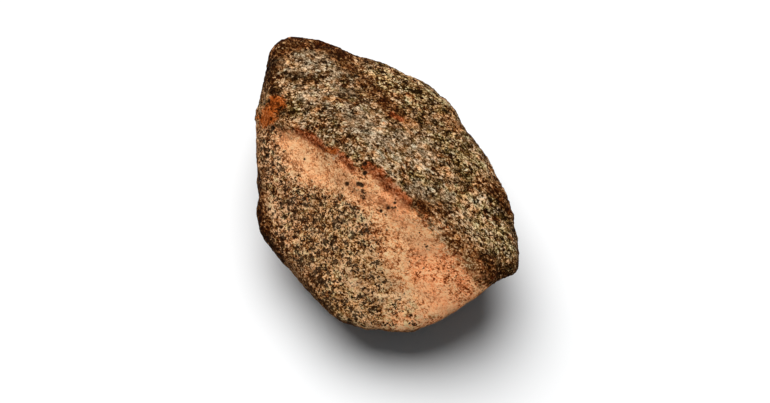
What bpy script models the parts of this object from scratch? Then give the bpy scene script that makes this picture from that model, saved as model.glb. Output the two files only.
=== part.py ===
"""A stony meteorite: one weathered, blunt-edged stone about 9 cm long, as it lies on a table.

The stone is split out of a block along its fracture planes, its edges are worn round, and its
faces are then given a ledge along the crest, scoops, furrows and a general unevenness. It stands
on a flat worn on its lower side. Metres, +Z up, with the origin on the table below its middle.
"""

import math

import bmesh
import bpy
from mathutils import Matrix, Vector, geometry, noise

MM = 0.001

# Driving sizes, in millimetres.
HEART = Vector((0, 0, 27))  # the planes' distances are measured from this point
BLOCK_SIDE = 140  # the rough block that the planes split
OUTLINE_TIP = 28  # degrees that the plane of the widest outline is tipped up at the back
FINE_GRID = 1.2  # spacing of the points while the edges are being worn
FINE_PASSES = 11  # smoothing passes that round the edges
GRID = 2.3  # spacing of the finished surface's points
GRID_PASSES = 2
FOOT_FADE = 5  # the relief fades out over this height above the table

# Corners of the pale side, in millimetres.
CORNERS = {
    "left_end": (-38, 17, 38),
    "left_foot": (-39, -11, 22),
    "crest_left": (-14, -4, 47),
    "crest_top": (-5, -7, 50),
    "crest_right": (5, -16, 48),
    "right_end": (32, -36, 36),
    "front": (-1, -47, 20),
    "front_left": (-25, -34, 24),
}

# Fracture planes of the pale side: the three corners that each runs through.
PALE_FACES = {
    "pale_left": ("left_end", "crest_top", "left_foot"),
    "pale_middle": ("crest_left", "crest_right", "front_left"),
    "pale_right": ("crest_right", "right_end", "front"),
}

# Fracture planes of the rest of the upper side: azimuth and elevation of the outward normal in
# degrees (azimuth 0 is +X, 90 is +Y), and distance from the heart in millimetres.
CROWN = {
    "dark_left": (150, 74, 23.5),
    "dark_middle": (80, 71, 21.5),
    "dark_right": (16, 67, 19),
    "dark_corner": (352, 60, 22.5),
    "left_wall": (178, 20, 38.3),
}

# Corners of the rough block's widest outline, as seen square to its plane: millimetres across
# and up from the heart, in order round the outline. A plane runs along each of its sides.
OUTLINE = {
    "right_tip": (38.5, -25.5),
    "right_wall": (39.5, -20),
    "right_bend": (36.5, -5),
    "right_shoulder": (28, 10.5),
    "back_right": (18.5, 24),
    "back_bend": (12.5, 30),
    "back": (0, 36.5),
    "nose_right": (-24, 45),
    "nose_left": (-32, 45),
    "nose_wall": (-38, 37.5),
    "rust_corner": (-39.5, 22),
    "left_wall": (-39.5, -12.5),
    "left_bend": (-32, -22.5),
    "front_left": (-16.5, -39.5),
    "front_bend": (-7, -44.5),
    "front": (8, -45),
    "front_right": (17, -39.5),
}

# Planes of the lower side, as the crown's.
UNDERSIDE = {
    "foot": (0, -90, 27),
    "front_undercut": (262, -42, 41),
    "left_undercut": (200, -36, 37.5),
    "back_undercut": (85, -28, 38.5),
    "right_undercut": (2, -36, 35),
    "front_right_undercut": (312, -42, 41),
    "back_left_undercut": (136, -30, 48),
    "sole_front": (255, -72, 32.2),
    "sole_right": (345, -70, 31.4),
    "sole_left": (172, -68, 32.3),
    "sole_back": (80, -72, 33.2),
}

# Line of the crest in plan, from the left end to the front right corner.
CREST = ((-42, 24), (-26, 8), (-17, 1), (-5, -7), (5, -15), (12, -24), (17, -28), (24, -31), (36, -37))
LEDGE_RISE = 1.1  # the rough side stands this much above the smooth side along the crest
LEDGE_RUN = 4  # width of the step between them
LEDGE_FADE = 16  # the rise dies away over this distance behind the crest

# Hollows: centre, radius and depth, in millimetres.
SCOOPS = {
    "below_nose": ((-37, 33, 33), 6, 1.3),
    "rust_pocket": ((-37, 20, 36), 6, 0.8),
    "nose_dip": ((-36, 36, 33), 7, 1.0),
    "back_notch": ((-9, 38, 37), 6, 1.0),
    "back_right_notch": ((27, 12, 33), 8, 1.0),
    "crest_hollow": ((13, -15, 43), 8, 1.5),
    "right_dip": ((31, 3, 33), 7, 1.2),
    "pale_shoulder": ((-27, -14, 30), 11, 0.8),
    "front_chip": ((9, -42, 22), 6, 0.9),
    "front_left_chip": ((-30, -26, 18), 6, 0.9),
    "corner_chip": ((31, -33, 28), 9, 1.8),
    "left_edge_dip": ((-39, 1, 26), 8, 0.7),
    "back_wall_scoop": ((2, 40, 18), 13, 2.2),
    "back_left_scoop": ((-30, 34, 12), 11, 1.8),
    "right_wall_scoop": ((34, 8, 15), 12, 2.0),
    "front_right_scoop": ((24, -31, 12), 10, 1.6),
    "front_scoop": ((-8, -40, 9), 10, 1.5),
    "left_wall_scoop": ((-36, -6, 14), 11, 1.6),
}

# Bosses: centre, radius and height, in millimetres.
BOSSES = {
    "corner_horn": ((37, -27, 27), 7, 1.2),
    "left_corner": ((-38, -11, 22), 8, 1.1),
    "rust_edge": ((-39, 19, 29), 7, 0.8),
    "back_right_boss": ((19, 23, 33), 7, 0.9),
}

# Furrows: the points they run through, half width and depth, in millimetres.
FURROWS = {
    "nose_valley": (((-34, 30, 39), (-26, 29, 41), (-18, 27, 42), (-11, 24, 42)), 4.5, 0.9),
    "dark_valley": (((-10, 36, 38), (-4, 23, 42), (3, 16, 43), (13, 8, 41), (25, 4, 36)), 5.5, 1.7),
    "corner_crease": (((5, -13, 46), (15, -13, 42), (24, -7, 38), (33, -1, 33)), 4.5, 1.1),
    "pale_trough": (((-26, 3, 39), (-12, -10, 42), (2, -22, 40), (14, -33, 35)), 6, 0.5),
    "pale_crack": (((-16, -30, 28), (-4, -35, 29), (8, -38, 28)), 4, 0.4),
}

# The stone's colour as a whole, and its finish.
STONE_COLOUR = (0.27, 0.17, 0.1, 1)
STONE_ROUGHNESS = 0.85

# General unevenness: size of the lumps and their height, in millimetres.
LUMPS = ((26, 1.1), (12, 0.8), (6.5, 0.4))


def direction(azimuth, elevation):
    """Unit vector at these angles, in degrees."""
    flat = math.cos(math.radians(elevation))
    return Vector(
        (
            flat * math.cos(math.radians(azimuth)),
            flat * math.sin(math.radians(azimuth)),
            math.sin(math.radians(elevation)),
        )
    )


def fracture_planes():
    """(outward normal, distance from the heart in mm) of every plane."""
    for azimuth, elevation, distance in [*CROWN.values(), *UNDERSIDE.values()]:
        yield direction(azimuth, elevation), distance
    for names in PALE_FACES.values():
        a, b, c = [Vector(CORNERS[name]) - HEART for name in names]
        normal = (b - a).cross(c - a).normalized()
        normal *= math.copysign(1, normal.dot(a))
        yield normal, normal.dot(a)
    tip = Matrix.Rotation(math.radians(OUTLINE_TIP), 3, "X")
    corners = [Vector((*corner, 0)) for corner in OUTLINE.values()]
    for a, b in zip(corners, corners[1:] + corners[:1]):
        normal = (b - a).cross(Vector((0, 0, 1))).normalized()
        yield tip @ normal, normal.dot(a)


def split_block():
    """The convex block that is left after every plane has taken its piece off."""
    bm = bmesh.new()
    bmesh.ops.create_cube(bm, size=BLOCK_SIDE * MM)
    bmesh.ops.translate(bm, vec=HEART * MM, verts=bm.verts)
    for normal, distance in fracture_planes():
        cut = bmesh.ops.bisect_plane(
            bm,
            geom=[*bm.verts, *bm.edges, *bm.faces],
            plane_co=(HEART + normal * distance) * MM,
            plane_no=normal,
            clear_outer=True,
        )
        rim = [e for e in cut["geom_cut"] if isinstance(e, bmesh.types.BMEdge)]
        bmesh.ops.edgeloop_fill(bm, edges=rim)
    bmesh.ops.recalc_face_normals(bm, faces=bm.faces)
    mesh = bpy.data.meshes.new("stone")
    bm.to_mesh(mesh)
    bm.free()
    return mesh


def wear(obj, grid, passes):
    """Replaces the object's mesh by an even one with its edges worn round."""
    remesh = obj.modifiers.new("even_grid", "REMESH")
    remesh.mode = "VOXEL"
    remesh.voxel_size = grid * MM
    smooth = obj.modifiers.new("wear", "SMOOTH")
    smooth.factor = 0.5
    smooth.iterations = passes
    graph = bpy.context.evaluated_depsgraph_get()
    mesh = bpy.data.meshes.new_from_object(obj.evaluated_get(graph))
    obj.modifiers.clear()
    obj.data = mesh


def ramp(value):
    """0 below 0, 1 above 1, and a smooth rise between them."""
    t = min(max(value, 0), 1)
    return t * t * (3 - 2 * t)


def bowl(distance, radius):
    """1 at the middle of a hollow, 0 from its rim on."""
    return ramp(1 - distance / radius)


def distance_to_line(p, points):
    """Distance of p from the nearest piece of the line, and that piece."""
    best = None
    for a, b in zip(points, points[1:]):
        a, b = Vector(a), Vector(b)
        near, share = geometry.intersect_point_line(p, a, b)
        near = a.lerp(b, min(max(share, 0), 1))
        distance = (p - near).length
        if best is None or distance < best[0]:
            best = (distance, a, b)
    return best


def ledge(p):
    """Height of the ledge that the rough side makes along the crest."""
    distance, a, b = distance_to_line(p.xy, CREST)
    side = (b - a).cross(p.xy - a)
    behind = math.copysign(distance, side)
    if p.z < HEART.z:
        return 0
    return LEDGE_RISE * ramp(0.5 + behind / LEDGE_RUN) * ramp(1 - behind / LEDGE_FADE)


def relief(p):
    """Height of the surface at p above the worn block, in millimetres."""
    height = ledge(p)
    for size, rise in LUMPS:
        height += rise * noise.noise(p / size)
    for centre, radius, depth in SCOOPS.values():
        height -= depth * bowl((p - Vector(centre)).length, radius)
    for centre, radius, rise in BOSSES.values():
        height += rise * bowl((p - Vector(centre)).length, radius)
    for points, half_width, depth in FURROWS.values():
        height -= depth * bowl(distance_to_line(p, points)[0], half_width)
    return height * ramp(p.z / FOOT_FADE)


def roughen(mesh):
    """Gives the worn block its relief."""
    normals = [v.normal.copy() for v in mesh.vertices]
    for v, normal in zip(mesh.vertices, normals):
        v.co += normal * relief(v.co / MM) * MM


def set_down(mesh):
    """Stands the stone on the table with the origin below the middle of its outline."""
    low = Vector([min(v.co[axis] for v in mesh.vertices) for axis in range(3)])
    high = Vector([max(v.co[axis] for v in mesh.vertices) for axis in range(3)])
    middle = (low + high) / 2
    mesh.transform(Matrix.Translation((-middle.x, -middle.y, -low.z)))


def stone_material():
    """Dull weathered stone, with no metal shine."""
    material = bpy.data.materials.new("stone")
    material.use_nodes = True
    principled = material.node_tree.nodes["Principled BSDF"]
    principled.inputs["Base Color"].default_value = STONE_COLOUR
    principled.inputs["Roughness"].default_value = STONE_ROUGHNESS
    principled.inputs["Metallic"].default_value = 0
    return material


def main():
    for obj in list(bpy.data.objects):
        bpy.data.objects.remove(obj)
    stone = bpy.data.objects.new("stone", split_block())
    bpy.context.scene.collection.objects.link(stone)
    wear(stone, FINE_GRID, FINE_PASSES)
    wear(stone, GRID, GRID_PASSES)
    roughen(stone.data)
    set_down(stone.data)
    stone.data.materials.append(stone_material())
    stone.data.shade_smooth()


main()
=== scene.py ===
import math
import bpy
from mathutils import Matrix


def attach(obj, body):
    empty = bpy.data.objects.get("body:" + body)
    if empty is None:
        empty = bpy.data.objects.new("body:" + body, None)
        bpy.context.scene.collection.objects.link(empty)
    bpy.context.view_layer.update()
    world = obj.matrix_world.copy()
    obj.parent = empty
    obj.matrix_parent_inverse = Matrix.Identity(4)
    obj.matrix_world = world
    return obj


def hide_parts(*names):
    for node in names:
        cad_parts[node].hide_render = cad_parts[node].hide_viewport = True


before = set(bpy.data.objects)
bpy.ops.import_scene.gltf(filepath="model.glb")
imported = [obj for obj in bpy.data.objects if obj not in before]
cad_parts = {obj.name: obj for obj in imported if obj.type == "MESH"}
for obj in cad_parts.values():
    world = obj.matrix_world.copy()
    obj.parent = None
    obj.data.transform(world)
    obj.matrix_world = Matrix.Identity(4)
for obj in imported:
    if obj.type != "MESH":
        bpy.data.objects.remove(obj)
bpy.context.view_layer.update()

from types import SimpleNamespace

import bpy
import numpy as np
from mathutils import Matrix, Vector

mm = 0.001

# the camera looks down on the stone; places on the side that it sees are given in pixels of its view
view = {
    "imageWide": 770,
    "imageHigh": 403,
    "pixel": 0.3 * mm,  # size of a pixel at the stone's heart
    "heart": (0.8 * mm, -2.2 * mm, 27 * mm),
    "heartPixel": (388, 185),
    "elevation": 62,
    "distance": 550 * mm,
    "sensor": 36,
    "nearClip": 10 * mm,
}


def viewAxes():
    angle = math.radians(view["elevation"])
    right = Vector((1, 0, 0))
    up = Vector((0, math.sin(angle), math.cos(angle)))
    toward = Vector((0, -math.cos(angle), math.sin(angle)))
    return right, up, toward


def viewAim():
    right, up, toward = viewAxes()
    across = view["imageWide"] / 2 - view["heartPixel"][0]
    down = view["imageHigh"] / 2 - view["heartPixel"][1]
    return Vector(view["heart"]) + (right * across - up * down) * view["pixel"]


def addCamera():
    right, up, toward = viewAxes()
    camera = bpy.data.cameras.new("camera")
    camera.sensor_width = view["sensor"]
    camera.lens = view["sensor"] * view["distance"] / (view["imageWide"] * view["pixel"])
    camera.clip_start = view["nearClip"]
    holder = bpy.data.objects.new("camera", camera)
    turn = Matrix((right, up, toward)).transposed().to_4x4()
    holder.matrix_world = Matrix.Translation(viewAim() + toward * view["distance"]) @ turn
    bpy.context.scene.collection.objects.link(holder)
    bpy.context.scene.camera = holder


def pixelsOf(points):
    right, up, toward = [np.array(axis) for axis in viewAxes()]
    away = points - np.array(viewAim())
    scale = view["distance"] / (view["distance"] - away @ toward) / view["pixel"]
    across = view["imageWide"] / 2 + (away @ right) * scale
    down = view["imageHigh"] / 2 - (away @ up) * scale
    return np.stack([across, down], axis=1)


addCamera()
print("camera placed")


# the stone's mesh

stoneShape = {
    "weld": 0.01 * mm,
    "softening": 3,  # smoothing passes over the solid's own points
    "spacing": 0.5 * mm,  # of the finished mesh's points
    "evening": 3,  # smoothing passes over the finished mesh
    "smoothing": 0.5,  # share of the way to the middle of its neighbours that a point moves in a pass
}


def copyNode(name, pieceName):
    bpy.ops.object.select_all(action="DESELECT")
    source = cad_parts[name]
    piece = bpy.data.objects.new(pieceName, source.data.copy())
    bpy.context.scene.collection.objects.link(piece)
    piece.select_set(True)
    bpy.context.view_layer.objects.active = piece
    bpy.ops.object.mode_set(mode="EDIT")
    bpy.ops.mesh.select_all(action="SELECT")
    bpy.ops.mesh.remove_doubles(threshold=stoneShape["weld"])
    bpy.ops.object.mode_set(mode="OBJECT")
    return piece


def applyModifier(piece, kind, **settings):
    modifier = piece.modifiers.new(kind.lower(), kind)
    for name, value in settings.items():
        setattr(modifier, name, value)
    bpy.ops.object.modifier_apply(modifier=modifier.name)


stone = copyNode("stone", "weathered_stone")
applyModifier(stone, "SMOOTH", factor=stoneShape["smoothing"], iterations=stoneShape["softening"])
applyModifier(stone, "SUBSURF", levels=1, render_levels=1)
applyModifier(stone, "REMESH", mode="VOXEL", voxel_size=stoneShape["spacing"])
applyModifier(stone, "SMOOTH", factor=stoneShape["smoothing"], iterations=stoneShape["evening"])
print("stone mesh", len(stone.data.vertices), "points", len(stone.data.polygons), "faces")


# where the finishes lie

# line between the smooth tan side, below it, and the rough dark side, above it
border = [
    (200, 100), (255, 121), (272, 125), (286, 129), (300, 134), (313, 143), (326, 150), (338, 158),
    (350, 166), (364, 174), (371, 168), (384, 181), (394, 192), (405, 201), (414, 210), (424, 219),
    (436, 230), (446, 242), (455, 250), (465, 258), (475, 266), (484, 276), (492, 288), (520, 330),
]

# below this line the tan side is speckled
speckLine = [
    (238, 60), (270, 118), (280, 141), (293, 169), (323, 188), (352, 198), (374, 224), (381, 250),
    (390, 272), (404, 292), (426, 310), (450, 334), (470, 380),
]

# dabs of each finish: the places in the view that a dab runs through, and its half width in millimetres
dabs = {
    "rust": [
        ([(300, 132), (310, 137), (322, 147)], 1.3),
        ([(323, 149), (337, 152)], 0.9),
        ([(343, 157), (353, 169)], 1.2),
        ([(370, 167), (385, 182), (396, 192), (405, 202)], 1.6),
        ([(392, 114), (402, 119)], 0.6),
    ],
    "stain": [
        ([(276, 52), (296, 43), (318, 42)], 1.8),
        ([(322, 44), (340, 50), (352, 64)], 2.4),
        ([(366, 82), (384, 102), (402, 120), (416, 126)], 2.0),
        ([(449, 119), (457, 129)], 1.3),
        ([(482, 180), (496, 188), (506, 198)], 2.2),
        ([(448, 238), (464, 254), (482, 272)], 3.4),
        ([(506, 194), (511, 216)], 1.2),
        ([(420, 204), (438, 220)], 1.8),
        ([(465, 203), (474, 211)], 1.3),
        ([(284, 118), (296, 130)], 1.4),
        ([(300, 306), (322, 318)], 2.0),
        ([(286, 262), (300, 282)], 1.8),
        ([(262, 190), (266, 228)], 1.8),
    ],
    "orange": [([(278, 102), (272, 110), (266, 121)], 2.0), ([(326, 150), (336, 152)], 0.6)],
    "grey": [
        ([(300, 54), (322, 56), (344, 72)], 2.6),
        ([(280, 62), (298, 66), (312, 66)], 2.8),
        ([(300, 94), (326, 97), (345, 92)], 2.6),
        ([(350, 112), (368, 128), (385, 150)], 4.6),
        ([(402, 134), (416, 146), (424, 158)], 3.4),
        ([(412, 192), (430, 200), (448, 196)], 2.6),
        ([(428, 214), (444, 230)], 2.4),
    ],
    "olive": [
        ([(382, 74), (410, 86), (436, 104)], 3.4),
        ([(446, 138), (462, 158), (478, 176)], 3.4),
        ([(456, 196), (478, 212), (488, 244)], 2.8),
        ([(496, 206), (504, 232), (508, 256)], 2.6),
        ([(420, 176), (430, 186)], 2.6),
        ([(286, 103), (304, 106)], 1.6),
    ],
    "pale": [
        ([(306, 55), (320, 54)], 1.6),
        ([(283, 84), (298, 96)], 1.2),
        ([(304, 98), (332, 97)], 1.5),
        ([(366, 120), (376, 130)], 2.2),
        ([(316, 60), (334, 74), (324, 90)], 2.2),
        ([(310, 86), (322, 104)], 1.6),
        ([(338, 116), (374, 123)], 3.6),
        ([(384, 138), (404, 146), (422, 142)], 3.0),
        ([(488, 179), (494, 186)], 1.4),
        ([(284, 260), (294, 272)], 1.6),
        ([(356, 62), (368, 68)], 1.4),
        ([(424, 86), (438, 98)], 2.4),
        ([(424, 178), (438, 184)], 2.2),
        ([(412, 132), (426, 152)], 2.4),
        ([(368, 155), (396, 166)], 1.6),
        ([(392, 70), (404, 82)], 1.8),
        ([(420, 176), (432, 184)], 1.8),
        ([(452, 198), (470, 206), (480, 222), (484, 240)], 3.2),
        ([(292, 140), (306, 156), (318, 170)], 2.2),
        ([(266, 196), (272, 208)], 1.6),
        ([(408, 324), (430, 316), (452, 302)], 4.8),
        ([(392, 262), (402, 284), (412, 300)], 4.0),
        ([(340, 272), (351, 288)], 2.6),
        ([(432, 226), (442, 250)], 2.2),
        ([(324, 154), (334, 168)], 1.4),
        ([(386, 284), (390, 314)], 2.4),
        ([(389, 178), (398, 190)], 1.6),
        ([(456, 196), (462, 212), (466, 222)], 2.0),
        ([(474, 236), (480, 248)], 1.6),
        ([(370, 256), (371, 268)], 2.2),
        ([(361, 310), (366, 316)], 1.6),
        ([(288, 60), (302, 70)], 1.3),
        ([(396, 106), (402, 118)], 1.6),
    ],
    # dark brown patches, and painted shade in the valleys and hollows of the rough side, along the rims and
    # on the end facet at the lower right corner
    "char": [
        ([(266, 78), (268, 62), (276, 50), (288, 43), (304, 41), (330, 46), (346, 54)], 2.3),
        ([(404, 82), (422, 94), (446, 110)], 1.3),
        ([(254, 190), (256, 214), (260, 232), (270, 246)], 2.0),
        ([(278, 128), (290, 137)], 1.0),
        ([(352, 70), (364, 80), (380, 96), (392, 108), (404, 116)], 1.6),
        ([(284, 76), (302, 76), (318, 82)], 1.0),
        ([(271, 66), (278, 76)], 1.0),
        ([(266, 82), (275, 94)], 1.3),
        ([(414, 205), (430, 210), (450, 206)], 1.9),
        ([(280, 108), (290, 112)], 1.4),
        ([(357, 191), (364, 196)], 1.4),
        ([(383, 204), (391, 209)], 1.6),
        ([(494, 190), (504, 202), (510, 220)], 1.4),
        ([(485, 256), (489, 264), (496, 271)], 2.2),
        ([(484, 279), (500, 277), (517, 269)], 2.6),
    ],
    # darker patches; those along the rims and on the end facet at the lower right corner are painted shade
    "dim": [
        ([(300, 45), (318, 46), (345, 55)], 2.2),
        ([(480, 258), (488, 268)], 1.8),
        ([(450, 236), (460, 250)], 1.8),
        ([(436, 146), (456, 156)], 2.0),
        ([(344, 292), (356, 298)], 2.0),
        ([(278, 146), (288, 164)], 1.6),
        ([(343, 70), (344, 90)], 1.8),
        ([(354, 92), (360, 114)], 2.2),
        ([(278, 104), (302, 112)], 2.2),
        ([(384, 64), (396, 72)], 1.4),
        ([(474, 146), (482, 154)], 1.4),
        ([(462, 228), (468, 238)], 1.5),
        ([(444, 187), (458, 186), (474, 178)], 2.4),
        ([(258, 210), (264, 236), (280, 254)], 2.8),
        ([(286, 210), (312, 230), (340, 245), (356, 258)], 3.8),
        ([(322, 268), (332, 296)], 2.8),
        ([(420, 216), (428, 226)], 1.4),
        ([(486, 276), (498, 279), (515, 270)], 2.2),
        ([(482, 186), (502, 202)], 1.8),
        ([(418, 110), (430, 114), (442, 118)], 1.8),
        ([(450, 128), (458, 144)], 1.6),
        ([(372, 270), (382, 280)], 1.6),
        ([(380, 230), (392, 246), (398, 260)], 2.2),
        ([(354, 187), (365, 197)], 1.5),
        ([(314, 180), (320, 196)], 1.6),
        ([(344, 302), (374, 314)], 2.8),
        ([(326, 200), (334, 214), (350, 214)], 2.0),
        ([(272, 190), (276, 208)], 2.2),
        ([(444, 262), (453, 278), (460, 294)], 2.4),
        ([(324, 262), (336, 274)], 3.0),
        ([(372, 236), (384, 262)], 1.6),
        ([(324, 112), (328, 134)], 2.4),
        ([(292, 162), (304, 172)], 1.6),
        ([(264, 132), (284, 138)], 1.6),
        ([(386, 108), (392, 122)], 1.8),
        ([(392, 178), (414, 182)], 1.6),
        ([(470, 236), (484, 240), (502, 244)], 2.0),
        ([(495, 200), (500, 216)], 1.6),
    ],
    # where the painted shade of the turned-away faces is taken off, on the left rim
    "bare": [([(259, 116), (257, 162)], 1.8)],
    "ochre": [
        ([(322, 212), (352, 250), (382, 282)], 5.4),
        ([(320, 300), (360, 306), (408, 312)], 5.0),
        ([(306, 240), (330, 270)], 3.4),
    ],
    "pink": [
        ([(422, 262), (432, 280), (446, 304)], 4.4),
        ([(404, 320), (428, 320), (450, 306)], 5.2),
        ([(336, 152), (352, 168)], 1.8),
        ([(444, 252), (458, 274), (466, 290)], 3.2),
        ([(384, 196), (400, 212)], 1.8),
    ],
    "peach": [
        ([(284, 136), (300, 156), (318, 176)], 4.2),
        ([(390, 202), (408, 228), (424, 248)], 3.6),
        ([(424, 290), (446, 310)], 3.0),
        ([(340, 180), (372, 196)], 2.4),
    ],
    # grey-brown grains at the lower right, and painted shade along the left and lower-left rims
    "greyBrownAndRimShade": [
        ([(444, 224), (460, 248), (482, 264)], 2.2),
        ([(260, 150), (262, 212), (280, 250), (306, 284), (326, 308)], 3.6),
        ([(276, 182), (300, 198), (320, 214)], 2.6),
    ],
    # small pits, carved into the stone and painted near black: painted shade in the pits
    "pit": [
        ([(347, 184)], 0.75),
        ([(358, 184), (362, 186)], 0.65),
        ([(365, 164)], 0.65),
        ([(365, 173)], 0.65),
        ([(273, 128)], 0.75),
        ([(267, 156)], 0.65),
        ([(388, 208)], 0.6),
        ([(395, 203)], 0.45),
        ([(381, 211)], 0.5),
        ([(352, 192)], 0.4),
        ([(304, 159)], 0.4),
    ],
}

# between these columns of the view the border's broken edge grows wider, by this many times its width
widening = {"columns": (395, 445), "gain": 2.2}

# painted shade, in the dark palette, on the faces that are turned away from the camera: the cosines of the
# turn at which it is full and at which it ends, for the faces that look right and those that look left, and
# the cosines with the leftward direction, across and up in the view, between which the first pair gives way
# to the second
turnedShade = {"right": (0.0, 0.55), "left": (0.42, 0.93), "lean": (-0.1, 0.35), "direction": (-0.97, 0.26)}

# millimetres from its line at which a field stops growing, and the cosine within which a face goes out of
# sight
fieldLimits = {"side": 6, "speck": 8, "seen": 0.1}


tiny = 1e-9  # keeps a dab of a single place from dividing by zero


def lineDistance(points, line):
    # distance of each point from the line, in pixels, and the side on which it lies
    ends = [line[0], line[0]] if len(line) == 1 else line
    nearest = np.full(len(points), np.inf)
    side = np.ones(len(points))
    for start, end in zip(ends, ends[1:]):
        start, run = np.array(start, float), np.array(end, float) - np.array(start, float)
        away = points - start
        share = np.clip(away @ run / max(run @ run, tiny), 0, 1)
        distance = np.linalg.norm(away - share[:, None] * run, axis=1)
        turn = run[1] * away[:, 0] - run[0] * away[:, 1]
        closer = distance < nearest
        nearest = np.where(closer, distance, nearest)
        side = np.where(closer, np.sign(turn), side)
    return nearest, side


def smoothStep(value, low, high):
    share = np.clip((value - low) / (high - low), 0, 1)
    return share * share * (3 - 2 * share)


def readMesh(piece):
    points = np.empty(len(piece.data.vertices) * 3, np.float32)
    normals = np.empty(len(piece.data.vertices) * 3, np.float32)
    piece.data.vertices.foreach_get("co", points)
    piece.data.vertices.foreach_get("normal", normals)
    return points.reshape(-1, 3).astype(float), normals.reshape(-1, 3).astype(float)


def storeField(piece, name, values):
    layer = piece.data.attributes.new(name, "FLOAT", "POINT")
    layer.data.foreach_set("value", values.astype(np.float32))


def layFields(piece):
    points, normals = readMesh(piece)
    pixels = pixelsOf(points)
    right, up, toward = [np.array(axis) for axis in viewAxes()]
    facing = normals @ toward
    seen = smoothStep(facing, -fieldLimits["seen"], fieldLimits["seen"])
    step = view["pixel"] / mm
    fields = {}
    distance, side = lineDistance(pixels, border)
    wide = 1 + widening["gain"] * smoothStep(pixels[:, 0], *widening["columns"])
    most = fieldLimits["side"]
    fields["side"] = np.clip(distance * side * step / wide, -most, most)  # millimetres above the border
    distance, side = lineDistance(pixels, speckLine)
    most = fieldLimits["speck"]
    fields["speck"] = np.clip(-distance * side * step, -most, most)  # millimetres below the speckle's edge
    for name, strokes in dabs.items():
        reach = np.full(len(points), -1.0)
        for path, halfWidth in strokes:
            distance = lineDistance(pixels, path)[0] * step
            reach = np.maximum(reach, 1 - distance / halfWidth)
        fields[name] = seen * (reach + 1) - 1  # 1 on the dab's line, 0 at its edge
    leftward = right * turnedShade["direction"][0] + up * turnedShade["direction"][1]
    lean = smoothStep(normals @ leftward, *turnedShade["lean"])
    full, ends = [turnedShade["right"][place] * (1 - lean) + turnedShade["left"][place] * lean for place in (0, 1)]
    # how far a face is turned away from the camera; it carries the painted shade of such faces, and the
    # stains and patches that only they have
    fields["turned"] = 1 - smoothStep(facing, full, ends)
    fields["undersideShade"] = -normals[:, 2]
    for name, values in fields.items():
        storeField(piece, name, values)
    return fields


fields = layFields(stone)
print("finishes laid out")


# relief

# the grain stands out as bumps where its height is below 0, and as small hollows above 0
relief = {
    "lumps": {"size": 4.5 * mm, "rough": 1.2 * mm, "speckled": 0.8 * mm, "smooth": 0.4 * mm},
    "grain": {"size": 1.5 * mm, "rough": -0.3 * mm, "speckled": 0.4 * mm, "smooth": 0.12 * mm},
    "fine": {"size": 0.9 * mm, "rough": 0.45 * mm, "speckled": 0.2 * mm, "smooth": 0.08 * mm},
    "borderEdge": 0.6,  # millimetres on each side of the border in which the rough relief begins
    "speckleEdge": (-1, 4),  # millimetres below the speckle line between which the speckled relief begins
    "ledge": 0.35 * mm,
    "ledgeFade": (0.5, 6),  # millimetres above the border between which the ledge dies away
    "pitDepth": 0.55 * mm,
    "pitFull": 0.7,  # share of the way to a pit's middle at which it is at its deepest
    "footFade": 1.5 * mm,
    "levels": 24,  # steps in which a weight is given out
}


def addWeights(piece, name, weights):
    group = piece.vertex_groups.new(name=name)
    steps = np.round(np.clip(weights, 0, 1) * relief["levels"]).astype(int)
    for level in range(1, relief["levels"] + 1):
        chosen = np.nonzero(steps == level)[0].tolist()
        if chosen:
            group.add(chosen, level / relief["levels"], "REPLACE")


def addTexture(name, kind, size, **settings):
    texture = bpy.data.textures.new(name, kind)
    texture.noise_scale = size
    for key, value in settings.items():
        setattr(texture, key, value)
    return texture


def pushOut(piece, group, strength, texture=None, middle=0.5):
    settings = {"texture": texture, "texture_coords": "LOCAL", "vertex_group": group}
    applyModifier(piece, "DISPLACE", strength=strength, mid_level=middle, **settings)


def carveRelief(piece):
    points, normals = readMesh(piece)
    lifted = smoothStep(points[:, 2], 0, relief["footFade"])
    rough = smoothStep(fields["side"], -relief["borderEdge"], relief["borderEdge"]) * lifted
    speckled = smoothStep(fields["speck"], *relief["speckleEdge"]) * (lifted - rough)
    addWeights(piece, "rough", rough)
    addWeights(piece, "speckled", speckled)
    addWeights(piece, "smooth", lifted - rough - speckled)
    addWeights(piece, "ledge", rough * (1 - smoothStep(fields["side"], *relief["ledgeFade"])))
    addWeights(piece, "pit", smoothStep(fields["pit"], 0, relief["pitFull"]))
    lumps = addTexture("lumps", "CLOUDS", relief["lumps"]["size"], noise_depth=1)
    grain = addTexture("grain", "VORONOI", relief["grain"]["size"])
    fine = addTexture("fine", "CLOUDS", relief["fine"]["size"], noise_depth=1)
    for texture, name in ((lumps, "lumps"), (grain, "grain"), (fine, "fine")):
        for group in ("rough", "speckled", "smooth"):
            pushOut(piece, group, relief[name][group], texture)
    raised = np.sum((readMesh(piece)[0] - points) * normals, axis=1) / mm
    storeField(piece, "raised", raised - raised.mean())
    print("relief spread", round(float(raised.std()), 3), "mm")
    pushOut(piece, "ledge", relief["ledge"], middle=0)
    pushOut(piece, "pit", -relief["pitDepth"], middle=0)
    piece.vertex_groups.clear()


def pressFoot(piece):
    for point in piece.data.vertices:
        point.co.z = max(point.co.z, 0)


carveRelief(stone)
pressFoot(stone)
stone.data.shade_smooth()
print("relief carved")


# node building

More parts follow.
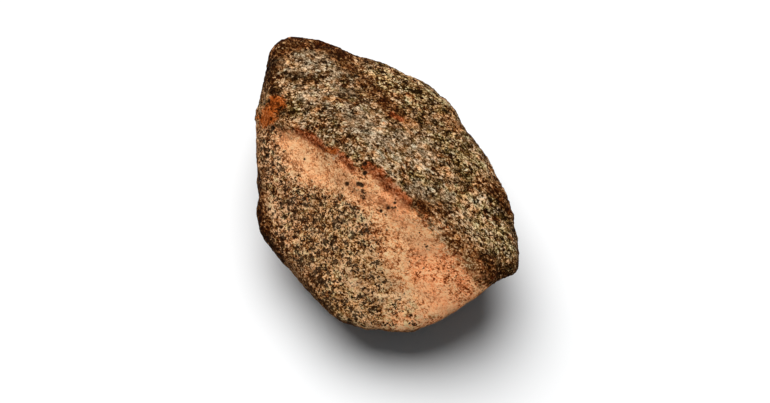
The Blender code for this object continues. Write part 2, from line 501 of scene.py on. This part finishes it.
class Board:
    # adds and joins the nodes of one material or group
    def __init__(self, tree):
        self.tree = tree

    def add(self, kind, inputs=None, **settings):
        node = self.tree.nodes.new(kind)
        for key, value in settings.items():
            setattr(node, key, value)
        for key, value in (inputs or {}).items():
            self.feed(node.inputs[key], value)
        return node

    def feed(self, socket, value):
        if isinstance(value, bpy.types.NodeSocket):
            self.tree.links.new(value, socket)
        else:
            socket.default_value = value

    def math(self, operation, first, second, clamp=False):
        values = {0: first, 1: second}
        return self.add("ShaderNodeMath", values, operation=operation, use_clamp=clamp).outputs[0]

    def sumOf(self, first, second):
        return self.math("ADD", first, second)

    def times(self, first, second):
        return self.math("MULTIPLY", first, second)

    def plus(self, start, parts):
        # start and, on top of it, each part times its weight
        for part, weight in parts:
            start = self.sumOf(start, self.times(part, weight))
        return start

    def centred(self, value, gain):
        # a value that runs from 0 to 1, made to run about 0
        return self.times(self.sumOf(value, -0.5), gain)

    def vector(self, operation, first, second):
        socket = "Scale" if operation == "SCALE" else 1
        return self.add("ShaderNodeVectorMath", {0: first, socket: second}, operation=operation).outputs[0]

    def bent(self, vector, frequency, detail, reach):
        # the vector, pushed about by noise
        noise = self.add("ShaderNodeTexNoise", {"Vector": vector, "Scale": frequency, "Detail": detail})
        push = self.vector("SUBTRACT", noise.outputs["Color"], (0.5, 0.5, 0.5))
        return self.vector("ADD", vector, self.vector("SCALE", push, reach))

    def rise(self, value, low, high, bottom=0.0, top=1.0):
        values = {"Value": value, "From Min": low, "From Max": high, "To Min": bottom, "To Max": top}
        return self.add("ShaderNodeMapRange", values, interpolation_type="SMOOTHSTEP").outputs[0]

    def noise(self, vector, size, detail, rough):
        values = {"Vector": vector, "Scale": 1 / size, "Detail": detail, "Roughness": rough}
        return self.add("ShaderNodeTexNoise", values).outputs

    def channels(self, colour):
        return self.add("ShaderNodeSeparateColor", {"Color": colour}).outputs

    def mix(self, factor, first, second, blend="MIX"):
        # a Mix node's sockets 0, 6 and 7, and its output 2, are the ones for colours
        node = self.add("ShaderNodeMix", data_type="RGBA", blend_type=blend)
        self.feed(node.inputs[0], factor)
        self.feed(node.inputs[6], first)
        self.feed(node.inputs[7], second)
        return node.outputs[2]

    def ramp(self, value, stops):
        node = self.add("ShaderNodeValToRGB", {"Fac": value})
        elements = node.color_ramp.elements
        while len(elements) < len(stops):
            elements.new(0.5)
        for element, (place, colour) in zip(elements, stops):
            element.position = place
            element.color = colour
        return node.outputs["Color"]

    def field(self, name):
        return self.add("ShaderNodeAttribute", attribute_name=name).outputs["Fac"]

    def group(self, tree, **inputs):
        node = self.add("ShaderNodeGroup", node_tree=tree)
        for key, value in inputs.items():
            self.feed(node.inputs[key], value)
        return node.outputs


def tone(red, green, blue, gain=1.0):
    # a colour given as screen values, made linear
    return tuple(min(((part / 255 + 0.055) / 1.055) ** 2.4 * gain, 1) for part in (red, green, blue)) + (1,)


def newGroup(name, inputs, outputs):
    # inputs are numbers, given with their first value, or vectors, given as None
    tree = bpy.data.node_groups.new(name, "ShaderNodeTree")
    for socketName, value in inputs.items():
        kind = "NodeSocketVector" if value is None else "NodeSocketFloat"
        socket = tree.interface.new_socket(socketName, in_out="INPUT", socket_type=kind)
        if value is not None:
            socket.default_value = value
    for socketName in outputs:
        tree.interface.new_socket(socketName, in_out="OUTPUT", socket_type="NodeSocketFloat")
    board = Board(tree)
    return tree, board, board.add("NodeGroupInput").outputs, board.add("NodeGroupOutput").inputs


grainShape = {
    "frequency": 1.9,  # of the noise that bends the grains, for a grain of size 1
    "detail": 1.0,
    "reach": 2.0,  # how far it bends them from end to end, in grain sizes, at a Warp of 1
    "kinds": (1.0, 0.6, 0.36),  # sizes of the three kinds of grain, as shares of the largest
    "Shade": (0.32, 0.3, 0.38),  # how much each kind counts in the shade
    "Grit": (0.14, 0.26, 0.6),  # the same, with the small ones leading
}


def grainsGroup():
    # mineral grains of three sizes, each grain with its own shade and hue
    outputs = ("Shade", "Grit", "Warm", "Green")
    tree, board, given, out = newGroup("mineralGrains", {"Vector": None, "Size": 1.0, "Warp": 0.5}, outputs)
    scale = board.math("DIVIDE", 1.0, given["Size"])
    frequency = board.times(scale, grainShape["frequency"])
    reach = board.times(given["Warp"], board.times(given["Size"], grainShape["reach"]))
    place = board.bent(given["Vector"], frequency, grainShape["detail"], reach)
    parted = []
    for share in grainShape["kinds"]:
        size = board.math("DIVIDE", scale, share)
        cells = board.add("ShaderNodeTexVoronoi", {"Vector": place, "Scale": size})
        parted.append(board.channels(cells.outputs["Color"]))
    for name in ("Shade", "Grit"):
        parts = [board.times(channels[0], weight) for channels, weight in zip(parted, grainShape[name])]
        board.feed(out[name], board.sumOf(parts[0], board.sumOf(parts[1], parts[2])))
    board.feed(out["Warm"], parted[0][1])
    board.feed(out["Green"], parted[0][2])
    return tree


noiseInEdges = 2.4  # how much more than the grains the noise breaks up an edge


def brokenGroup():
    # a laid-out field with its edge broken up grain by grain, as a mask
    inputs = {"Field": 0.0, "Noise": 0.5, "Grain": 0.5, "Amount": 1.0, "Softness": 0.2}
    tree, board, given, out = newGroup("brokenEdge", inputs, ("Mask",))
    ragged = board.sumOf(board.centred(given["Noise"], noiseInEdges), board.sumOf(given["Grain"], -0.5))
    level = board.sumOf(given["Field"], board.times(ragged, given["Amount"]))
    low = board.times(given["Softness"], -1.0)
    board.feed(out["Mask"], board.rise(level, low, given["Softness"]))
    return tree


speckShape = {
    "frequency": 1.6,  # of the noise that bends the specks, for a speck of size 1
    "detail": 2.0,
    "reach": 1.6,  # how far it bends them from end to end, in speck sizes
    "growth": 5.0,  # how fast a speck grows once Density passes its own chance
    "largest": 0.6,
    "softness": 0.06,
}


def specksGroup():
    # dark specks whose share of the surface follows Density
    tree, board, given, out = newGroup("darkSpecks", {"Vector": None, "Size": 1.0, "Density": 0.3}, ("Mask",))
    scale = board.math("DIVIDE", 1.0, given["Size"])
    frequency = board.times(scale, speckShape["frequency"])
    reach = board.times(given["Size"], speckShape["reach"])
    place = board.bent(given["Vector"], frequency, speckShape["detail"], reach)
    cells = board.add("ShaderNodeTexVoronoi", {"Vector": place, "Scale": scale})
    chance = board.channels(cells.outputs["Color"])[0]
    margin = board.times(board.math("SUBTRACT", given["Density"], chance), speckShape["growth"])
    radius = board.math("MINIMUM", margin, speckShape["largest"])
    inside = board.math("SUBTRACT", radius, cells.outputs["Distance"])
    board.feed(out["Mask"], board.rise(inside, -speckShape["softness"], speckShape["softness"]))
    return tree


grains = grainsGroup()
broken = brokenGroup()
specks = specksGroup()
print("shared effects built")


# the stone's finish

palettes = {
    "rough": [(28, 12, 0), (62, 34, 8), (102, 69, 34), (144, 109, 72), (190, 155, 117), (236, 204, 166)],
    "grey": [(30, 18, 6), (68, 48, 28), (108, 86, 60), (148, 125, 98), (190, 167, 138), (234, 211, 180)],
    "olive": [(24, 12, 0), (58, 38, 6), (98, 74, 30), (138, 113, 66), (186, 161, 110), (234, 210, 156)],
    "stain": [(42, 14, 0), (82, 38, 8), (122, 74, 34), (160, 110, 66), (200, 150, 102), (236, 190, 144)],
    "rust": [(56, 16, 0), (98, 40, 10), (138, 64, 28), (168, 88, 48), (196, 120, 76), (220, 154, 108)],
    "orange": [(60, 24, 2), (106, 48, 10), (150, 68, 20), (176, 88, 32), (196, 112, 54), (212, 140, 84)],
    "smooth": [(92, 36, 6), (146, 82, 40), (200, 126, 78), (236, 156, 100), (254, 182, 124), (255, 208, 154)],
    "pink": [(100, 34, 4), (156, 80, 38), (212, 122, 72), (246, 150, 96), (255, 168, 112), (255, 190, 136)],
    "speckled": [(38, 13, 0), (84, 40, 6), (138, 89, 48), (185, 133, 90), (218, 167, 122), (246, 198, 152)],
    "ochre": [(36, 15, 0), (84, 44, 4), (138, 93, 47), (187, 139, 85), (222, 173, 119), (248, 202, 152)],
    "dark": [(24, 9, 0), (44, 20, 0), (68, 38, 13), (94, 60, 31), (125, 90, 57), (162, 129, 95)],
}
gains = {"pink": 1.0, "smooth": 0.93, "others": 0.88}  # share of its palette's brightness that a finish has
# peach patches, and near black for the painted shade in the pits
plainTones = {"peach": (240, 168, 116), "pit": (24, 14, 6)}

# tints of the patches, from cool to warm, as screen colours around mid grey
patchTints = [(0.3, (179, 190, 194)), (0.5, (188, 188, 188)), (0.7, (198, 185, 171))]

# noises: size in millimetres, detail and roughness
noises = {
    "fine": (0.52, 1, 0.8),
    "middle": (2.0, 2, 0.65),
    "coarse": (5.5, 2, 0.55),
    "patch": (2.2, 2, 0.65),
    "warmth": (2.4, 1, 0.6),
    "hue": (2.8, 1, 0.6),
    "region": (10, 3, 0.6),
}

# the edges of the masks: how much they are broken up, and how soft they are
edges = {
    "side": (2.4, 0.3),
    "char": (0.9, 0.7),
    "bare": (0.6, 0.6),
    "pale": (0.9, 0.7),
    "dim": (0.9, 0.7),
    "grey": (0.9, 0.9),
    "olive": (0.9, 0.9),
    "greyBrownAndRimShade": (0.8, 0.9),
    "pink": (0.6, 0.8),
    "peach": (0.6, 0.8),
    "ochre": (0.6, 0.8),
    "stain": (1.2, 0.6),
    "rust": (1.1, 0.4),
    "orange": (1.3, 0.35),
    "pit": (0.5, 0.2),
}
speckleEdge = (1.6, 1.0)
undersideShadeEdge = (0.5, 0.35)

# how strongly a finish covers the one below it
covers = {
    "pink": 0.9,
    "pinkSpeckled": 0.6,
    "peach": 0.35,
    "speckled": 0.85,
    "specks": 0.92,
    "stain": 0.8,
    "rust": 0.9,
    "orange": 0.95,
    "pit": 0.92,
    # the last three are painted shade: dark patches with the shade of creases and rims, the faces turned
    # away, and the underside
    "char": 0.3,
    "turnedShade": 0.7,
    "undersideShade": 0.7,
}

# smooth rises: the values between which one climbs, and its height below and above them
rises = {
    "turnedShade": (0.4, 0.58, 0.35, 1.1),
    "stained": (0.5, 0.66, 0.0, 0.8),
    "olive": (0.2, 1.2, 0.0, 0.75),
    "grey": (0.2, 1.2, 0.0, 0.8),
    "speckleHue": (0.6, 1.0, 0.0, 0.75),
    "hiddenStain": (0.5, 0.62, 0.0, 0.75),
    "roughness": (0.2, 0.8, 0.8, 1.0),
}

# the stone's finish; a brightness runs from 0, a palette's darkest shade, to 1, its palest
finish = {
    "streakTurn": -33,  # degrees, along which the rough side's grain runs
    "streakStretch": 1.25,
    "flowStretch": 1.5,
    "grains": {"Size": 0.95, "Warp": 0.45},
    "rough": {"grain": 2.0, "fine": 1.4, "middle": 1.0, "coarse": 0.2, "raised": 0.2, "level": 0.4},
    "smooth": {"grain": 1.6, "fine": 1.3, "middle": 1.6, "coarse": 0.3, "raised": 0.1, "level": 0.68},
    "speckled": {"grain": 1.9, "fine": 1.2, "middle": 2.2, "coarse": 0.3, "raised": 0.15, "level": 0.78},
    "turnedShadeUnevenness": 0.6,
    # the dark patches, the grey-brown rim and the turned-away faces lower a brightness, in part or in whole
    # as painted shade
    "roughShifts": {"patches": 0.16, "char": -0.25, "turned": -0.15, "hiddenPatches": 0.7},
    "tanShifts": {"char": -0.2, "greyBrownAndRimShade": -0.14, "turned": -0.3, "patches": 0.16},
    "calming": {"grey": -0.25, "olive": 0.15},  # change of contrast in these patches
    "hues": {"patches": 4.0, "speckled": 2.0, "warmGrains": 0.2, "greenGrains": 1.0},
    "evened": {"contrast": 0.65, "level": 0.16},  # of the rust and the orange
    "tint": {"everywhere": 0.4, "roughSide": 0.6},
    "bump": {"strength": 0.8, "depth": 0.3 * mm, "fine": 0.6, "grain": 0.4},
    "gloss": 0.015,
}

# the specks of the tan side: sizes in millimetres, and what makes up their density
clustering = {
    "size": 2.2,
    "zone": 0.34,
    "patch": 1.0,
    "weights": {"pale": -0.12, "dim": 0.1},
    "darkening": -0.3,
}
speckling = {
    "sizes": (1.3, 0.7),
    "fieldSlope": 0.35,  # how fast the speckled part sets in, for each millimetre below its line
    "start": -0.2,
    "zone": 0.46,
    "patch": 2.4,
    "weights": {"clusters": 0.45, "char": 0.3, "pale": -0.3, "dim": 0.12, "greyBrownAndRimShade": 0.12, "turned": 0.15},
    "contrast": 1.2,
}


def palette(board, level, name):
    colours = palettes[name]
    last = len(colours) - 1
    gain = gains.get(name, gains["others"])
    return board.ramp(level, [(place / last, tone(*colour, gain)) for place, colour in enumerate(colours)])


def tintOf(board, value):
    doubled = [(place, tuple(part * 2 for part in tone(*colour)[:3]) + (1,)) for place, colour in patchTints]
    return board.ramp(value, doubled)


def brokenMask(board, field, noise, grain, edge):
    amount, softness = edge
    outputs = board.group(broken, Field=field, Noise=noise, Grain=grain, Amount=amount, Softness=softness)
    return outputs["Mask"]


def stretched(board, place, amount):
    node = board.add("ShaderNodeMapping", {"Vector": place}, vector_type="TEXTURE")
    node.inputs["Rotation"].default_value = (0, 0, math.radians(finish["streakTurn"]))
    node.inputs["Scale"].default_value = (amount, 1, 1)
    return node.outputs[0]


def sharedNumbers(board):
    # what all the finishes draw on: grains, noises, masks of the dabs, and how far a place is turned away,
    # which gives its painted shade
    has = SimpleNamespace()
    has.place = board.vector("SCALE", board.add("ShaderNodeTexCoord").outputs["Object"], 1 / mm)
    streaked = stretched(board, has.place, finish["streakStretch"])
    flow = stretched(board, has.place, finish["flowStretch"])
    has.grains = board.group(grains, Vector=streaked, **finish["grains"])
    has.fine = board.noise(streaked, *noises["fine"])["Fac"]
    has.middle = board.noise(flow, *noises["middle"])["Fac"]
    has.coarse = board.noise(flow, *noises["coarse"])["Fac"]
    has.patch = board.noise(has.place, *noises["patch"])["Fac"]
    has.warmth = board.noise(has.place, *noises["warmth"])["Fac"]
    has.hue = board.channels(board.noise(flow, *noises["hue"])["Color"])
    has.region = board.channels(board.noise(has.place, *noises["region"])["Color"])
    has.raised = board.field("raised")
    for name, edge in edges.items():
        setattr(has, name, brokenMask(board, board.field(name), has.middle, has.grains["Shade"], edge))
    has.patches = board.math("SUBTRACT", has.pale, has.dim)
    has.hidden = board.field("turned")
    has.hiddenPatches = board.times(has.hidden, board.sumOf(has.region[2], -0.5))
    # painted shade on the faces turned away from the camera, made uneven by the region and coarse noises,
    # taken off along the unshaded rim
    turned = board.times(has.hidden, board.rise(has.region[0], *rises["turnedShade"]))
    turned = board.math("SUBTRACT", turned, has.bare)
    has.turned = board.math("ADD", turned, board.centred(has.coarse, finish["turnedShadeUnevenness"]), clamp=True)
    return has


def levelOf(board, has, name, grain, medium):
    # brightness of a finish, before the masks change it
    weights = finish[name]
    level = board.sumOf(board.centred(grain, weights["grain"]), board.centred(has.fine, weights["fine"]))
    level = board.sumOf(level, board.centred(medium, weights["middle"]))
    # raised places painted lighter and hollows darker: painted shade in the relief
    level = board.sumOf(level, board.times(has.raised, weights["raised"]))
    level = board.sumOf(level, board.centred(has.coarse, weights["coarse"]))
    return board.sumOf(level, weights["level"])


def shifted(board, has, start, weights):
    # start, raised or lowered by the masks that the weights name
    return board.plus(start, [(getattr(has, name), weight) for name, weight in weights.items()])


def roughSide(board, has):
    # brightness and colour of the rough dark side
    level = levelOf(board, has, "rough", has.grains["Shade"], has.middle)
    level = shifted(board, has, level, finish["roughShifts"])
    calming = finish["calming"]
    gain = board.sumOf(board.times(has.grey, calming["grey"]), board.times(has.olive, calming["olive"]))
    level = board.sumOf(level, board.times(gain, board.sumOf(level, -finish["rough"]["level"])))
    hues = finish["hues"]
    warm = board.sumOf(has.hue[0], board.centred(has.grains["Warm"], hues["warmGrains"]))
    greenish = board.sumOf(has.olive, board.centred(has.hue[1], hues["patches"]))
    greenish = board.sumOf(greenish, board.centred(has.grains["Green"], hues["greenGrains"]))
    greyish = board.sumOf(has.grey, board.centred(has.hue[2], hues["patches"]))
    colour = palette(board, level, "rough")
    colour = board.mix(board.rise(warm, *rises["stained"]), colour, palette(board, level, "stain"))
    colour = board.mix(board.rise(greenish, *rises["olive"]), colour, palette(board, level, "olive"))
    colour = board.mix(board.rise(greyish, *rises["grey"]), colour, palette(board, level, "grey"))
    return level, colour


def tanSide(board, has):
    # colour of the smooth tan side, of its speckled part and of its specks
    shading = shifted(board, has, 0.0, finish["tanShifts"])
    calm = board.sumOf(levelOf(board, has, "smooth", has.grains["Grit"], has.patch), shading)
    smooth = palette(board, calm, "smooth")
    smooth = board.mix(board.times(has.pink, covers["pink"]), smooth, palette(board, calm, "pink"))
    peach = tone(*plainTones["peach"], gains["smooth"])
    smooth = board.mix(board.times(has.peach, covers["peach"]), smooth, peach)

    zoneField = board.times(board.field("speck"), speckling["fieldSlope"])
    zone = brokenMask(board, zoneField, has.coarse, has.fine, speckleEdge)
    share = board.sumOf(board.times(zone, clustering["zone"]), board.centred(has.patch, clustering["patch"]))
    share = shifted(board, has, share, clustering["weights"])
    has.clusters = board.group(specks, Vector=has.place, Size=clustering["size"], Density=share)["Mask"]

    mottle = board.sumOf(levelOf(board, has, "speckled", has.grains["Grit"], has.patch), shading)
    mottle = board.sumOf(mottle, board.times(has.clusters, clustering["darkening"]))
    speckled = palette(board, mottle, "speckled")
    speckled = board.mix(has.ochre, speckled, palette(board, mottle, "ochre"))
    pinkShare = board.times(has.pink, covers["pinkSpeckled"])
    speckled = board.mix(pinkShare, speckled, palette(board, mottle, "pink"))
    for grain, patches, name in (("Warm", has.hue[0], "stain"), ("Green", has.hue[1], "olive")):
        chosen = board.sumOf(has.grains[grain], board.centred(patches, finish["hues"]["speckled"]))
        chosen = board.rise(chosen, *rises["speckleHue"])
        speckled = board.mix(chosen, speckled, palette(board, mottle, name))
    colour = board.mix(board.times(zone, covers["speckled"]), smooth, speckled)

    density = board.sumOf(board.times(zone, speckling["zone"]), board.centred(has.patch, speckling["patch"]))
    density = shifted(board, has, board.sumOf(density, speckling["start"]), speckling["weights"])
    masks = []
    for size in speckling["sizes"]:
        masks.append(board.group(specks, Vector=has.place, Size=size, Density=density)["Mask"])
    spots = board.times(board.math("MAXIMUM", *masks), covers["specks"])
    dark = palette(board, board.centred(has.grains["Shade"], speckling["contrast"]), "dark")
    return board.mix(spots, colour, dark)


def overlaid(board, has, base, level):
    # stains, painted shade on dark patches, rims and faces turned away, tint, rust, orange and pits painted
    # near black over both sides, and painted shade on the underside
    stain = palette(board, level, "stain")
    dark = palette(board, level, "dark")
    base = board.mix(board.times(has.stain, covers["stain"]), base, stain)
    base = board.mix(board.times(has.hidden, board.rise(has.region[1], *rises["hiddenStain"])), base, stain)
    # dark patches with the painted shade of creases and rims, and painted shade on the faces turned away,
    # both in the dark palette
    darkPatchAndShadeShare = board.times(has.char, covers["char"])
    turnedShaded = board.times(has.turned, covers["turnedShade"])
    base = board.mix(board.math("MAXIMUM", darkPatchAndShadeShare, turnedShaded), base, dark)
    tintShare = board.plus(finish["tint"]["everywhere"], [(has.side, finish["tint"]["roughSide"])])
    tinted = board.mix(1.0, base, tintOf(board, has.warmth), "MULTIPLY")
    base = board.mix(tintShare, base, tinted)
    evened = board.sumOf(board.times(level, finish["evened"]["contrast"]), finish["evened"]["level"])
    base = board.mix(board.times(has.rust, covers["rust"]), base, palette(board, evened, "rust"))
    base = board.mix(board.times(has.orange, covers["orange"]), base, palette(board, evened, "orange"))
    # the pits painted near black, as painted shade
    base = board.mix(board.times(has.pit, covers["pit"]), base, tone(*plainTones["pit"]))
    # painted shade on the faces that look down, in the dark palette
    undersideShade = brokenMask(board, board.field("undersideShade"), has.coarse, has.grains["Shade"], undersideShadeEdge)
    return board.mix(board.times(undersideShade, covers["undersideShade"]), base, dark)


def buildStoneMaterial():
    paint = bpy.data.materials.new("weatheredStone")
    paint.use_nodes = True
    board = Board(paint.node_tree)
    shader = paint.node_tree.nodes["Principled BSDF"]
    has = sharedNumbers(board)
    level, rough = roughSide(board, has)
    base = board.mix(has.side, tanSide(board, has), rough)
    board.feed(shader.inputs["Base Color"], overlaid(board, has, base, level))
    board.feed(shader.inputs["Roughness"], board.rise(has.middle, *rises["roughness"]))
    shader.inputs["Specular IOR Level"].default_value = finish["gloss"]
    bump = finish["bump"]
    height = board.sumOf(board.times(has.fine, bump["fine"]), board.times(has.grains["Shade"], bump["grain"]))
    values = {"Strength": bump["strength"], "Distance": bump["depth"], "Height": height}
    board.feed(shader.inputs["Normal"], board.add("ShaderNodeBump", values).outputs["Normal"])
    return paint


stone.data.materials.clear()
stone.data.materials.append(buildStoneMaterial())
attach(stone, "root")
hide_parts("stone")
print("stone finished")


# floor and lights

floorLook = {"size": 6, "grey": 0.8, "roughness": 0.9}


def addFloor():
    bpy.ops.object.select_all(action="DESELECT")
    bpy.ops.mesh.primitive_plane_add(size=floorLook["size"])
    floor = bpy.context.object
    floor.name = "floor"
    paint = bpy.data.materials.new("floorPaint")
    paint.use_nodes = True
    shader = paint.node_tree.nodes["Principled BSDF"]
    shader.inputs["Base Color"].default_value = (floorLook["grey"], floorLook["grey"], floorLook["grey"], 1)
    shader.inputs["Roughness"].default_value = floorLook["roughness"]
    shader.inputs["Specular IOR Level"].default_value = 0
    floor.data.materials.append(paint)


lights = {
    "key": {"strength": 4.25, "spread": 60, "back": 24, "left": 8},  # one broad soft light overhead
    "fill": 0.12,
    "fillColour": (0.86, 0.94, 1.0),
    "backdrop": 1.0,  # brightness of the surroundings where they are seen
}


def addLights():
    lamp = bpy.data.lights.new("key", "SUN")
    lamp.energy = lights["key"]["strength"]
    lamp.angle = math.radians(lights["key"]["spread"])
    holder = bpy.data.objects.new("key", lamp)
    holder.rotation_euler = (-math.radians(lights["key"]["back"]), -math.radians(lights["key"]["left"]), 0)
    bpy.context.scene.collection.objects.link(holder)
    world = bpy.data.worlds.new("studio")
    world.use_nodes = True
    board = Board(world.node_tree)
    seen = board.add("ShaderNodeLightPath").outputs["Is Camera Ray"]
    background = world.node_tree.nodes["Background"]
    tint = board.mix(seen, (*lights["fillColour"], 1), (1, 1, 1, 1))
    board.feed(background.inputs["Color"], tint)
    values = {"Value": seen, "To Min": lights["fill"], "To Max": lights["backdrop"]}
    strength = board.add("ShaderNodeMapRange", values)
    board.feed(background.inputs["Strength"], strength.outputs[0])
    bpy.context.scene.world = world
    bpy.context.scene.view_settings.view_transform = "Standard"


addFloor()
addLights()
print("floor and lights placed")
